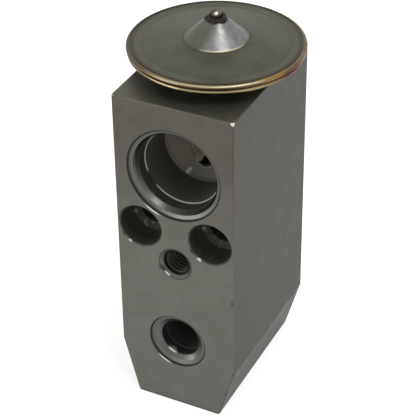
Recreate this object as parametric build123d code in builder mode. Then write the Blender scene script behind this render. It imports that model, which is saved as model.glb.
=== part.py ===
from build123d import *
from math import cos, pi, radians, sin, sqrt, tan
import os

# A block type thermostatic expansion valve, in millimetres.
# +Z is up, the front face with the pipe ports looks towards -Y, and the block stands on z = 0.
# The origin is the middle of the footprint of the whole valve.

# Block
block_width = 28.0
block_depth = 38.0
block_height = 79.1
taper_inset = 3.7
left_taper_height = 14.5
right_taper_height = 13.0
block_edge_radius = 0.3
foot_corner_radius = 0.5
mouth_break = 0.35

# Heights of the ports and holes above the base
suction_height = 62.5
bolt_height = 47.4
stud_height = 39.8
feed_height = 32.0
liquid_height = 18.1

# Suction ports, front and rear
suction_lip_radius = 10.75
suction_lip_depth = 0.55
suction_shoulder_radius = 10.0
suction_shoulder_depth = 0.85
suction_land_radius = 9.3
suction_seat_depth = 2.15
suction_throat_radius = 9.05
suction_throat_depth = 4.25
suction_bore_radius = 8.85
front_suction_depth = 13.2
rear_suction_depth = 10.0

# Small ports: liquid inlet in front, evaporator feed at the rear
small_lip_radius = 6.65
small_lip_depth = 0.5
small_shoulder_radius = 5.75
small_shoulder_depth = 0.8
small_land_radius = 4.65
small_seat_depth = 1.6
small_land_depth = 3.6
small_bore_radius = 4.3
small_bore_depth = 11.5
small_passage_radius = 3.4
small_passage_overrun = 2.5

# Drill points, and the corner that a boring tool leaves
drill_point_angle = 118.0
floor_corner = 0.6

# Bolt holes and stud hole
bolt_spacing = 16.7
bolt_hole_radius = 3.5
counterbore_radius = 4.95
counterbore_depth = 6.4
stud_radius = 3.0
stud_depth = 13.0
stud_countersink_radius = 3.75

# Covers of the diaphragm head
head_offset = 2.2
head_radius = 19.2
lower_rim_inset = 0.2
rim_height = 3.1
cover_thickness = 0.9
rim_rounding = 0.43
clamp_radius = 15.8
rim_groove_radius = 18.35
rim_groove_width = 0.3
rim_groove_depth = 0.14
dome_rise = 1.1
cone_base_radius = 6.85
cone_base_rounding = 0.5
cone_top_radius = 2.3
cone_height = 4.4
cone_land_rise = 0.1
lower_floor_radius = 12.4

# Filling plug and the welds
plug_radius = 1.3
plug_hole_radius = 1.12
plug_weld_radius = 2.5
plug_weld_rise = 0.35
rim_weld_depth = 1.2
rim_weld_recess = 0.25

# Threaded neck of the head and its seal
neck_radius = 9.0
neck_length = 6.8
neck_bevel = 0.5
neck_spigot_radius = 7.6
neck_bore_radius = 5.4
neck_stop_rise = 0.9
head_groove_radius = 11.0

# Diaphragm and its pad
diaphragm_thickness = 0.15
diaphragm_dish = 0.7
diaphragm_flat_radius = 12.4
pad_radius = 12.1
pad_hub_radius = 3.2
pad_hub_length = 2.6
pad_floor = 0.75

# Stem, sleeve, pin and seal
stem_radius = 1.5
stem_neck_radius = 1.1
stem_bottom = 45.2
stem_room = 1.2
sleeve_radius = 1.8
sleeve_length = 15.5
sleeve_lift = 0.8
stem_bore_radius = 6.2
stem_bore_floor = 54.2
seal_pocket_radius = 3.3
retainer_sink = 1.6
retainer_thickness = 0.5
pin_radius = 1.3
pin_tip_radius = 1.0
pin_step_height = 29.0
pin_bevel = 0.3

# Orifice, chamber and ball
stroke = 0.55
orifice_radius = 1.6
seat_mouth_radius = 2.6
chamber_radius = 6.0
chamber_roof = 25.5
ball_radius = 2.5

# Ball carrier and its damper spring
carrier_radius = 5.3
carrier_plate = 1.2
carrier_cup_radius = 3.4
carrier_cup_height = 1.2
carrier_pilot_length = 2.0
pilot_gap = 0.3
damper_sheet = 0.2
damper_ring_radius = 4.9
damper_height = 2.6
damper_fingers = 8
damper_slot_width = 1.4
damper_slot_rise = 0.6

# Coil spring
spring_wire_radius = 0.6
spring_mean_radius = 4.2
spring_turns = 6
spring_grind = 0.36
spring_points_per_turn = 16

# Adjusting screw
adjuster_thread_radius = 7.0
adjuster_thread_depth = 7.2
adjuster_thread_length = 4.2
adjuster_recess = 1.5
adjuster_length = 8.9
adjuster_bevel = 0.6
adjuster_pilot_height = 1.0
adjuster_groove_height = 7.95
adjuster_groove_width = 1.8
adjuster_groove_radius = 4.75
socket_across_flats = 5.0
socket_depth = 4.0

# Clearances: running fits, close fits, and faces that meet on different moving pieces
running_clearance = 0.05
fit_clearance = 0.02
contact_gap = 0.02

# Footprint of the whole valve, with the head reaching past the rear of the block
head_overhang = max(0, head_offset + head_radius - block_depth / 2)
front_y = -(block_depth + head_overhang) / 2
rear_y = front_y + block_depth
axis_y = front_y + block_depth / 2 + head_offset
front_plane = Plane((0, front_y, 0), x_dir=(1, 0, 0), z_dir=(0, -1, 0))
valve_plane = Plane((0, axis_y, 0), x_dir=(1, 0, 0), z_dir=(0, -1, 0))
valve_axis = Axis((0, axis_y, 0), (0, 0, 1))

# Heights in the head, from the block's top up
floor_top_z = block_height + cover_thickness
lower_rim_z = block_height + rim_height + cover_thickness
upper_rim_z = lower_rim_z + diaphragm_thickness
rim_top_z = upper_rim_z + cover_thickness
cone_base_z = rim_top_z + dome_rise
cone_top_z = cone_base_z + cone_height
plug_land_z = cone_top_z + cone_land_rise
plug_z = plug_land_z + sqrt(plug_radius**2 - plug_hole_radius**2)
neck_bottom_z = block_height - neck_length
neck_stop_z = floor_top_z + neck_stop_rise
diaphragm_z = lower_rim_z - diaphragm_dish
pad_top_z = diaphragm_z - contact_gap
pad_bottom_z = neck_stop_z + contact_gap
stem_top_z = pad_top_z - pad_floor

# Seals fill their grooves
head_ring_radius = (head_groove_radius - neck_radius) * 0.375
head_groove_z = block_height - 2 * head_ring_radius - fit_clearance
stem_ring_radius = (seal_pocket_radius - stem_radius) / 2 - fit_clearance
retainer_z = stem_bore_floor - retainer_sink - retainer_thickness
seal_pocket_z = retainer_z - 2 * stem_ring_radius - 3 * fit_clearance
adjuster_ring_radius = (chamber_radius - adjuster_groove_radius) / 2 - fit_clearance

# Heights at the ball, open on its way down from the orifice
drill_slope = tan(radians(90 - drill_point_angle / 2))
ball_cone_reach = ball_radius / sin(radians(45))
seat_top_z = chamber_roof + seat_mouth_radius - orifice_radius
ball_z = seat_top_z + orifice_radius - ball_cone_reach - contact_gap - stroke
carrier_bottom_z = ball_z - ball_radius - carrier_plate
carrier_top_z = carrier_bottom_z + carrier_plate + carrier_cup_height
guide_radius = stem_radius + running_clearance
guide_bottom_z = stem_bottom - stem_room
pin_bore_radius = pin_radius + running_clearance

# Coil spring between the carrier and the adjusting screw
adjuster_top_z = adjuster_recess + adjuster_length
pilot_radius = spring_mean_radius - spring_wire_radius - pilot_gap
spring_foot_z = adjuster_top_z + contact_gap
spring_head_z = carrier_bottom_z - contact_gap
closed_pitch = 2 * spring_wire_radius + fit_clearance
coil_start_z = spring_foot_z + spring_wire_radius - spring_grind
coil_end_z = spring_head_z - spring_wire_radius + spring_grind
open_pitch = (coil_end_z - coil_start_z - 2 * closed_pitch) / (spring_turns - 2)
os.makedirs("parts", exist_ok=True)


def save(builder, name):
    """Labels a finished piece with its name and writes it to its own file."""
    builder.part.label = name
    export_step(builder.part, f"parts/{name}.step")


def half_section(plane, points):
    """The closed half section of a turned shape, on a plane through its axis."""
    with BuildSketch(plane) as section:
        with BuildLine():
            Polyline(*points, close=True)
        make_face()
    return section.sketch


def bored_floor(radius, depth):
    """The end of a bore: a corner bevel, then the flat cone of the drill down to the axis."""
    bevel = min(floor_corner, radius / 4)
    return [
        (radius, depth),
        (radius - bevel, depth + bevel),
        (0, depth + bevel + (radius - bevel) * drill_slope),
    ]


def suction_port(depth):
    """Half section of a suction port, radius against depth."""
    return [
        (0, 0),
        (suction_lip_radius + mouth_break, 0),
        (suction_lip_radius, mouth_break),
        (suction_lip_radius, suction_lip_depth),
        (suction_shoulder_radius, suction_shoulder_depth),
        (suction_land_radius, suction_seat_depth),
        (suction_throat_radius, suction_throat_depth),
        (suction_bore_radius, suction_throat_depth + suction_throat_radius - suction_bore_radius),
        *bored_floor(suction_bore_radius, depth),
    ]


def small_port(depth):
    """Half section of a liquid or feed port, radius against depth."""
    return [
        (0, 0),
        (small_lip_radius + mouth_break, 0),
        (small_lip_radius, mouth_break),
        (small_lip_radius, small_lip_depth),
        (small_shoulder_radius, small_shoulder_depth),
        (small_land_radius, small_seat_depth),
        (small_land_radius, small_land_depth),
        (small_bore_radius, small_land_depth + small_land_radius - small_bore_radius),
        (small_bore_radius, small_bore_depth),
        (small_passage_radius, small_bore_depth + (small_bore_radius - small_passage_radius) * drill_slope),
        *bored_floor(small_passage_radius, depth),
    ]


bolt_hole = [
    (0, 0),
    (counterbore_radius + mouth_break, 0),
    (counterbore_radius, mouth_break),
    (counterbore_radius, counterbore_depth),
    (bolt_hole_radius, counterbore_depth + (counterbore_radius - bolt_hole_radius) * drill_slope),
    (bolt_hole_radius, block_depth - mouth_break),
    (bolt_hole_radius + mouth_break, block_depth),
    (0, block_depth),
]
stud_hole = [
    (0, 0),
    (stud_countersink_radius, 0),
    (stud_radius, stud_countersink_radius - stud_radius),
    *bored_floor(stud_radius, stud_depth),
]
# Each hole from a face: where its axis meets the face, which way it goes in, and its half section
face_holes = [
    (0, front_y, suction_height, 1, suction_port(front_suction_depth)),
    (0, rear_y, suction_height, -1, suction_port(rear_suction_depth)),
    (0, front_y, liquid_height, 1, small_port(axis_y - front_y - small_passage_overrun)),
    (0, rear_y, feed_height, -1, small_port(rear_y - axis_y + small_passage_overrun)),
    (-bolt_spacing / 2, front_y, bolt_height, 1, bolt_hole),
    (bolt_spacing / 2, front_y, bolt_height, 1, bolt_hole),
    (0, front_y, stud_height, 1, stud_hole),
]
# The bore on the valve axis, radius against height, from the head's neck down to the adjuster
valve_bore = [
    (0, block_height),
    (head_groove_radius, block_height),
    (head_groove_radius, head_groove_z),
    (neck_radius, head_groove_z),
    (neck_radius, neck_bottom_z),
    (stem_bore_radius, neck_bottom_z),
    (stem_bore_radius, stem_bore_floor),
    (seal_pocket_radius, stem_bore_floor),
    (seal_pocket_radius, seal_pocket_z),
    (guide_radius, seal_pocket_z),
    (guide_radius, guide_bottom_z),
    (pin_bore_radius, guide_bottom_z - (guide_radius - pin_bore_radius) * drill_slope),
    (pin_bore_radius, feed_height),
    (orifice_radius, feed_height),
    (orifice_radius, seat_top_z),
    (seat_mouth_radius, chamber_roof),
    (chamber_radius, chamber_roof),
    (chamber_radius, adjuster_thread_depth),
    (adjuster_thread_radius, adjuster_thread_depth),
    (adjuster_thread_radius, mouth_break),
    (adjuster_thread_radius + mouth_break, 0),
    (0, 0),
]

with BuildPart() as valve_body:
    with BuildSketch(front_plane):
        with BuildLine():
            Polyline(
                (taper_inset - block_width / 2, 0),
                (block_width / 2 - taper_inset, 0),
                (block_width / 2, right_taper_height),
                (block_width / 2, block_height),
                (-block_width / 2, block_height),
                (-block_width / 2, left_taper_height),
                close=True,
            )
        make_face()
    extrude(amount=-block_depth)
    fillet(valve_body.edges().filter_by(Axis.Y).group_by(Axis.Z)[0], foot_corner_radius)
    upper_edges = valve_body.edges().filter_by(Axis.Y).filter_by(lambda e: e.center().Z > foot_corner_radius)
    fillet(valve_body.faces().filter_by(Axis.Y).edges() + upper_edges, block_edge_radius)
    for x, y, z, inward, outline in face_holes:
        hole_plane = Plane((x, y, z), x_dir=(1, 0, 0), z_dir=(0, 0, inward))
        revolve(half_section(hole_plane, outline), axis=Axis((x, y, z), (0, 1, 0)), mode=Mode.SUBTRACT)
    revolve(half_section(valve_plane, valve_bore), axis=valve_axis, mode=Mode.SUBTRACT)
save(valve_body, "valve_body")

upper_section = [
    (clamp_radius, upper_rim_z),
    (head_radius, upper_rim_z),
    (head_radius, rim_top_z),
    (clamp_radius, rim_top_z),
    (cone_base_radius, cone_base_z),
    (cone_top_radius, cone_top_z),
    (plug_hole_radius, plug_land_z),
    (plug_hole_radius, plug_land_z - cover_thickness),
    (cone_top_radius - cover_thickness / 2, cone_top_z - cover_thickness),
    (cone_base_radius - cover_thickness / 2, cone_base_z - cover_thickness),
]
with BuildPart() as upper_cover:
    revolve(half_section(valve_plane, upper_section), axis=valve_axis)
    circles = upper_cover.edges().filter_by(GeomType.CIRCLE)
    fillet(circles.filter_by(lambda e: e.radius > head_radius - fit_clearance), rim_rounding)
    circles = upper_cover.edges().filter_by(GeomType.CIRCLE)
    fillet(
        circles.filter_by(lambda e: abs(e.radius - cone_base_radius) < fit_clearance),
        cone_base_rounding,
    )
    with BuildSketch(Plane.XY.offset(rim_top_z - rim_groove_depth)):
        with Locations((0, axis_y)):
            Circle(rim_groove_radius + rim_groove_width / 2)
            Circle(rim_groove_radius - rim_groove_width / 2, mode=Mode.SUBTRACT)
    extrude(amount=rim_groove_depth, mode=Mode.SUBTRACT)
save(upper_cover, "upper_cover")

lower_rim_radius = head_radius - lower_rim_inset
lower_section = [
    (neck_spigot_radius + fit_clearance, block_height),
    (lower_floor_radius, block_height),
    (clamp_radius, lower_rim_z - cover_thickness),
    (lower_rim_radius, lower_rim_z - cover_thickness),
    (lower_rim_radius, lower_rim_z),
    (clamp_radius, lower_rim_z),
    (lower_floor_radius, floor_top_z),
    (neck_spigot_radius + fit_clearance, floor_top_z),
]
with BuildPart() as lower_cover:
    revolve(half_section(valve_plane, lower_section), axis=valve_axis)
    circles = lower_cover.edges().filter_by(GeomType.CIRCLE)
    fillet(circles.filter_by(lambda e: e.radius > lower_rim_radius - fit_clearance), rim_rounding)
save(lower_cover, "lower_cover")

neck_section = [
    (neck_bore_radius, neck_bottom_z),
    (neck_radius - fit_clearance - neck_bevel, neck_bottom_z),
    (neck_radius - fit_clearance, neck_bottom_z + neck_bevel),
    (neck_radius - fit_clearance, block_height),
    (neck_spigot_radius, block_height),
    (neck_spigot_radius, neck_stop_z),
    (neck_bore_radius, neck_stop_z),
]
with BuildPart() as head_boss:
    revolve(half_section(valve_plane, neck_section), axis=valve_axis)
save(head_boss, "head_boss")

# The diaphragm sags from its clamped edge over one ripple down to the pad
weld_foot_radius = lower_rim_radius - rim_weld_depth
diaphragm_top_z = diaphragm_z + diaphragm_thickness
ripple_width = clamp_radius - diaphragm_flat_radius
ripple = [
    (diaphragm_flat_radius, diaphragm_z),
    (diaphragm_flat_radius + ripple_width * 0.3, diaphragm_z + diaphragm_dish * 0.75),
    (diaphragm_flat_radius + ripple_width * 0.6, diaphragm_z + diaphragm_dish * 0.5),
    (clamp_radius, lower_rim_z),
]
with BuildPart() as diaphragm:
    with BuildSketch(valve_plane):
        with BuildLine():
            Line((0, diaphragm_z), ripple[0])
            Spline(*ripple, tangents=((1, 0), (1, 0)))
            Line(ripple[-1], (weld_foot_radius, lower_rim_z))
            Line((weld_foot_radius, lower_rim_z), (weld_foot_radius, upper_rim_z))
            Line((weld_foot_radius, upper_rim_z), (clamp_radius, upper_rim_z))
            Spline(*[(r, z + diaphragm_thickness) for r, z in ripple], tangents=((1, 0), (1, 0)))
            Line((diaphragm_flat_radius, diaphragm_top_z), (0, diaphragm_top_z))
            Line((0, diaphragm_top_z), (0, diaphragm_z))
        make_face()
    revolve(axis=valve_axis)
save(diaphragm, "diaphragm")

weld_face_radius = lower_rim_radius - rim_weld_recess
weld_section = [
    (weld_foot_radius, lower_rim_z - rim_rounding),
    (weld_face_radius, lower_rim_z - rim_rounding),
    (weld_face_radius, upper_rim_z + rim_rounding),
    (weld_foot_radius, upper_rim_z + rim_rounding),
]
with BuildPart() as rim_weld:
    revolve(half_section(valve_plane, weld_section), axis=valve_axis)
    add(upper_cover.part, mode=Mode.SUBTRACT)
    add(lower_cover.part, mode=Mode.SUBTRACT)
save(rim_weld, "rim_weld")

with BuildPart() as charge_plug:
    with Locations((0, axis_y, plug_z)):
        Sphere(plug_radius)
save(charge_plug, "charge_plug")

cone_slope = cone_height / (cone_base_radius - cone_top_radius)
plug_weld_section = [
    (plug_hole_radius, plug_land_z),
    (cone_top_radius, cone_top_z),
    (plug_weld_radius, cone_top_z - (plug_weld_radius - cone_top_radius) * cone_slope),
    (cone_top_radius, cone_top_z + plug_weld_rise),
    (plug_radius, plug_land_z + plug_weld_rise),
    (plug_hole_radius, plug_land_z + plug_weld_rise),
]
with BuildPart() as plug_weld:
    revolve(half_section(valve_plane, plug_weld_section), axis=valve_axis)
    add(charge_plug.part, mode=Mode.SUBTRACT)
save(plug_weld, "plug_weld")

with BuildPart() as head_o_ring:
    with Locations((0, axis_y, head_groove_z + head_ring_radius + fit_clearance / 2)):
        Torus((head_groove_radius + neck_radius) / 2, head_ring_radius)
save(head_o_ring, "head_o_ring")

pad_section = [
    (0, stem_top_z),
    (stem_neck_radius + fit_clearance, stem_top_z),
    (stem_neck_radius + fit_clearance, pad_bottom_z - pad_hub_length),
    (pad_hub_radius, pad_bottom_z - pad_hub_length),
    (pad_hub_radius, pad_bottom_z),
    (pad_radius, pad_bottom_z),
    (pad_radius, pad_top_z),
    (0, pad_top_z),
]
with BuildPart() as diaphragm_pad:
    revolve(half_section(valve_plane, pad_section), axis=valve_axis)
save(diaphragm_pad, "diaphragm_pad")

sleeve_bottom_z = stem_bore_floor + sleeve_lift
stem_section = [
    (0, stem_bottom),
    (stem_radius - pin_bevel, stem_bottom),
    (stem_radius, stem_bottom + pin_bevel),
    (stem_radius, sleeve_bottom_z),
    (stem_neck_radius, sleeve_bottom_z),
    (stem_neck_radius, stem_top_z),
    (0, stem_top_z),
]
with BuildPart() as sensing_stem:
    revolve(half_section(valve_plane, stem_section), axis=valve_axis)
save(sensing_stem, "sensing_stem")

with BuildPart() as stem_sleeve:
    with BuildSketch(Plane.XY.offset(sleeve_bottom_z)):
        with Locations((0, axis_y)):
            Circle(sleeve_radius)
            Circle(stem_neck_radius + fit_clearance, mode=Mode.SUBTRACT)
    extrude(amount=sleeve_length)
save(stem_sleeve, "stem_sleeve")

pin_bottom_z = ball_z + ball_radius
pin_section = [
    (0, pin_bottom_z),
    (pin_tip_radius - pin_bevel, pin_bottom_z),
    (pin_tip_radius, pin_bottom_z + pin_bevel),
    (pin_tip_radius, pin_step_height),
    (pin_radius, pin_step_height + pin_radius - pin_tip_radius),
    (pin_radius, stem_bottom),
    (0, stem_bottom),
]
with BuildPart() as push_pin:
    revolve(half_section(valve_plane, pin_section), axis=valve_axis)
save(push_pin, "push_pin")

stem_ring_z = seal_pocket_z + stem_ring_radius + fit_clearance
with BuildPart() as stem_o_ring:
    with Locations((0, axis_y, stem_ring_z)):
        Torus((seal_pocket_radius + stem_radius) / 2, stem_ring_radius)
save(stem_o_ring, "stem_o_ring")

with BuildPart() as seal_retainer:
    with BuildSketch(Plane.XY.offset(retainer_z)):
        with Locations((0, axis_y)):
            Circle(seal_pocket_radius - fit_clearance)
            Circle(stem_radius + 2 * running_clearance, mode=Mode.SUBTRACT)
    extrude(amount=retainer_thickness)
save(seal_retainer, "seal_retainer")

with BuildPart() as valve_ball:
    with Locations((0, axis_y, ball_z)):
        Sphere(ball_radius)
save(valve_ball, "valve_ball")

carrier_section = [
    (0, carrier_bottom_z - carrier_pilot_length),
    (pilot_radius, carrier_bottom_z - carrier_pilot_length),
    (pilot_radius, carrier_bottom_z),
    (carrier_radius, carrier_bottom_z),
    (carrier_radius, carrier_bottom_z + carrier_plate),
    (carrier_cup_radius, carrier_bottom_z + carrier_plate),
    (carrier_cup_radius, carrier_top_z),
    (carrier_top_z - ball_z + ball_cone_reach, carrier_top_z),
    (0, ball_z - ball_cone_reach),
]
with BuildPart() as ball_carrier:
    revolve(half_section(valve_plane, carrier_section), axis=valve_axis)
save(ball_carrier, "ball_carrier")

damper_z = carrier_bottom_z + carrier_plate
damper_tip_radius = chamber_radius - running_clearance
damper_section = [
    (carrier_cup_radius + fit_clearance, damper_z),
    (damper_ring_radius, damper_z),
    (damper_tip_radius, damper_z + damper_height),
    (damper_tip_radius - damper_sheet, damper_z + damper_height),
    (damper_ring_radius - damper_sheet, damper_z + damper_sheet),
    (carrier_cup_radius + fit_clearance, damper_z + damper_sheet),
]
with BuildPart() as damper_spring:
    revolve(half_section(valve_plane, damper_section), axis=valve_axis)
    with BuildSketch(Plane.XY.offset(damper_z + damper_slot_rise)):
        with Locations((0, axis_y)):
            with PolarLocations(damper_tip_radius, damper_fingers):
                Rectangle(damper_tip_radius - damper_ring_radius + 2 * damper_sheet, damper_slot_width)
    extrude(amount=damper_height, mode=Mode.SUBTRACT)
save(damper_spring, "damper_spring")


def coil_point(turn):
    """A point on the coil's centre line after some turns; the first and last turn lie closed."""
    closed_turns = min(turn, 1) + max(turn - spring_turns + 1, 0)
    open_turns = turn - closed_turns
    return (
        spring_mean_radius * cos(2 * pi * turn),
        axis_y + spring_mean_radius * sin(2 * pi * turn),
        coil_start_z + closed_turns * closed_pitch + open_turns * open_pitch,
    )


coil_steps = spring_turns * spring_points_per_turn
with BuildPart() as superheat_spring:
    with BuildLine() as coil:
        Spline(*[coil_point(step / spring_points_per_turn) for step in range(coil_steps + 1)])
    with BuildSketch(Plane(coil.line @ 0, z_dir=coil.line % 0)):
        Circle(spring_wire_radius)
    sweep(path=coil.line)
    split(bisect_by=Plane.XY.offset(spring_foot_z), keep=Keep.TOP)
    split(bisect_by=Plane.XY.offset(spring_head_z), keep=Keep.BOTTOM)
save(superheat_spring, "superheat_spring")

screw_radius = adjuster_thread_radius - running_clearance
plug_body_radius = chamber_radius - running_clearance
thread_top_z = adjuster_recess + adjuster_thread_length
screw_section = [
    (0, adjuster_recess),
    (screw_radius - adjuster_bevel, adjuster_recess),
    (screw_radius, adjuster_recess + adjuster_bevel),
    (screw_radius, thread_top_z),
    (plug_body_radius, thread_top_z),
    (plug_body_radius, adjuster_groove_height),
    (adjuster_groove_radius, adjuster_groove_height),
    (adjuster_groove_radius, adjuster_groove_height + adjuster_groove_width),
    (plug_body_radius, adjuster_groove_height + adjuster_groove_width),
    (plug_body_radius, adjuster_top_z),
    (pilot_radius, adjuster_top_z),
    (pilot_radius, adjuster_top_z + adjuster_pilot_height),
    (0, adjuster_top_z + adjuster_pilot_height),
]
with BuildPart() as adjusting_screw:
    revolve(half_section(valve_plane, screw_section), axis=valve_axis)
    with BuildSketch(Plane.XY.offset(adjuster_recess)):
        with Locations((0, axis_y)):
            RegularPolygon(socket_across_flats / 2, 6, major_radius=False)
    extrude(amount=socket_depth, mode=Mode.SUBTRACT)
save(adjusting_screw, "adjusting_screw")

with BuildPart() as adjuster_o_ring:
    with Locations((0, axis_y, adjuster_groove_height + adjuster_groove_width / 2)):
        Torus((chamber_radius + adjuster_groove_radius) / 2, adjuster_ring_radius)
save(adjuster_o_ring, "adjuster_o_ring")
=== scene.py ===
import math
import random

import bpy
from mathutils import Matrix, Vector


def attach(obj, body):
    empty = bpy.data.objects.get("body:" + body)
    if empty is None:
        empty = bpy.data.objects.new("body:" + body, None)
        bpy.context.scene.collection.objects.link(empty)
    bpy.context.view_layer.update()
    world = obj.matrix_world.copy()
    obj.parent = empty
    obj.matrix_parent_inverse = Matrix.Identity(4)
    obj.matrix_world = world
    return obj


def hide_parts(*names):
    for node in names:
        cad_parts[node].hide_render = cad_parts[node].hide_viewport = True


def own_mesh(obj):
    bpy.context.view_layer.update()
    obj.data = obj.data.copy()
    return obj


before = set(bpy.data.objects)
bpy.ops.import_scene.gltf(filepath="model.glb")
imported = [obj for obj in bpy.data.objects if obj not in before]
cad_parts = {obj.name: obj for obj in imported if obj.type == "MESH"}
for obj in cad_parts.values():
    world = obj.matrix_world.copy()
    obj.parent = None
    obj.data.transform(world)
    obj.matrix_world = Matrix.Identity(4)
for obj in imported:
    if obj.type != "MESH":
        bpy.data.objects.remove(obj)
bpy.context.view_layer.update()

# Places and sizes in metres, in the frame of the solids
MM = 0.001
AXIS_Y = 1.0 * MM
FRONT_Y = -20.2 * MM
REAR_Y = 17.8 * MM
BLOCK_TOP = 79.1 * MM
SUCTION_Z = 62.5 * MM
BOLT_X = 8.35 * MM
BOLT_Z = 47.4 * MM
STUD_Z = 39.8 * MM
FEED_Z = 32.0 * MM
LIQUID_Z = 18.1 * MM
CLAMP_Z = 83.25 * MM
CONE_TOP_Z = 89.65 * MM
PLUG_LAND_Z = 89.75 * MM
SPRING_FOOT_Z = 10.42 * MM
SPRING_HEAD_Z = 20.274 * MM

# Camera that was fitted to the photograph, for an image of 416 by 416 pixels
IMAGE_PIXELS = 416
FOCAL_PIXELS = 1533.0
SENSOR_MM = 36.0
TURN = (2.132, 0.489, -0.270)
SHIFT_MM = (1.646, 35.231, 369.605)
FITTED_FRAME_Y_MM = -1.2
CLIP_NEAR = 0.01
CLIP_FAR = 20.0

# Light: an even world, a glow that keeps the floor white, a soft key lamp and a low soft fill
WORLD_LEVEL = 0.7
FLOOR_GLOW = 0.55
FLOOR_HALF = 4.0
KEY_WAY = (0.387, -0.178, 0.904)
LAMP_DISTANCE = 0.9
KEY_SIZE = 0.32
KEY_WATTS = 2.2
FILL_WAY = (-0.62, -0.77, 0.05)
FILL_SIZE = (0.8, 0.15)
FILL_WATTS = 3.0


def make_camera():
    """The camera at the photograph's viewpoint."""
    turn = Vector(TURN)
    rot = Matrix.Rotation(turn.length, 3, turn.normalized())
    centre = -(rot.transposed() @ Vector(SHIFT_MM)) + Vector((0, FITTED_FRAME_Y_MM, 0))
    axes = Matrix((rot[0], -rot[1], -rot[2])).transposed()
    cam = bpy.data.cameras.new("camera")
    cam.sensor_width = SENSOR_MM
    cam.lens = SENSOR_MM * FOCAL_PIXELS / IMAGE_PIXELS
    cam.clip_start = CLIP_NEAR
    cam.clip_end = CLIP_FAR
    obj = bpy.data.objects.new("camera", cam)
    obj.matrix_world = Matrix.Translation(centre * MM) @ axes.to_4x4()
    bpy.context.collection.objects.link(obj)
    bpy.context.scene.camera = obj


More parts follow.
